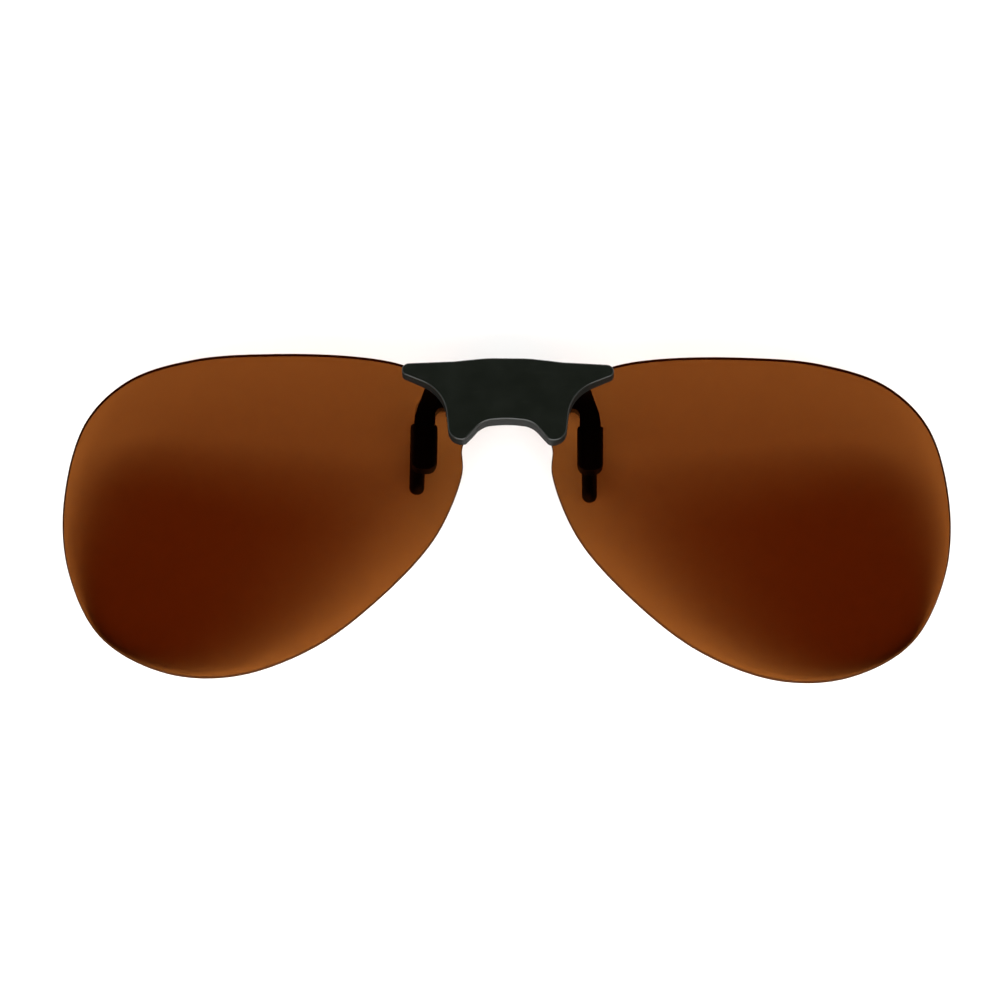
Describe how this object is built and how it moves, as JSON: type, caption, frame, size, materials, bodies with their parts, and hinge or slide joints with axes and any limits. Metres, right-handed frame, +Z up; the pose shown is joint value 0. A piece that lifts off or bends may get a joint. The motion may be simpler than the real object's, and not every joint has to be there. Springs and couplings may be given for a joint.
{
  "type": "clip-on flip lenses",
  "caption": "Rimless teardrop tinted lenses on a flip hinge, carried by a spring clamp with soft-sleeved legs that grips the bridge of a pair of spectacles.",
  "frame": {"origin": "on the surface that the object lies on, under the middle of its outline", "axes": "+X to the wearer's left, +Y to the top of the lenses, +Z up and out of the lens fronts, which face up and lean 9.6 degrees"},
  "size_m": [0.1392, 0.054, 0.0152],
  "materials": {
    "lens": "clear brown-tinted optical resin, polished faces, fine-ground edge",
    "cover": "fine spark-textured black moulding",
    "moulding": "satin black glass-filled nylon",
    "sleeve": "soft black silicone",
    "steel": "bright drawn wire and turned pins",
    "spring_steel": "drawn spring wire and rolled strip",
    "nylon": "natural nylon"
  },
  "bodies": {
    "rear_jaw": {"rear_lever": "moulding", "left_rear_prong": "steel", "right_rear_prong": "steel", "left_rear_sleeve": "sleeve", "right_rear_sleeve": "sleeve", "jaw_spring": "spring_steel"},
    "clamp": {"clamp_body": "moulding", "left_front_sleeve": "sleeve", "right_front_sleeve": "sleeve", "flip_pin": "steel", "detent_spring": "spring_steel", "jaw_pin": "steel"},
    "lens_carrier": {"front_cover": "cover", "hinge_plate": "moulding", "left_lens": "lens", "right_lens": "lens", "lens_screws": "steel", "lens_bushes": "nylon"}
  },
  "joints": [
    {"name": "jaw_open", "type": "hinge", "parent": "rear_jaw", "child": "clamp", "pos_m": [0, 0.02038, 0.00181], "axis": [-1, 0, 0], "range_deg": [0, 24], "stiffness_Nm_per_rad": 0.012, "springref_deg": -103.13, "deforming": ["jaw_spring"]},
    {"name": "lens_flip", "type": "hinge", "parent": "clamp", "child": "lens_carrier", "pos_m": [0, 0.02108, 0.0073], "axis": [-1, 0, 0], "range_deg": [0, 90], "deforming": ["detent_spring"]}
  ]
}
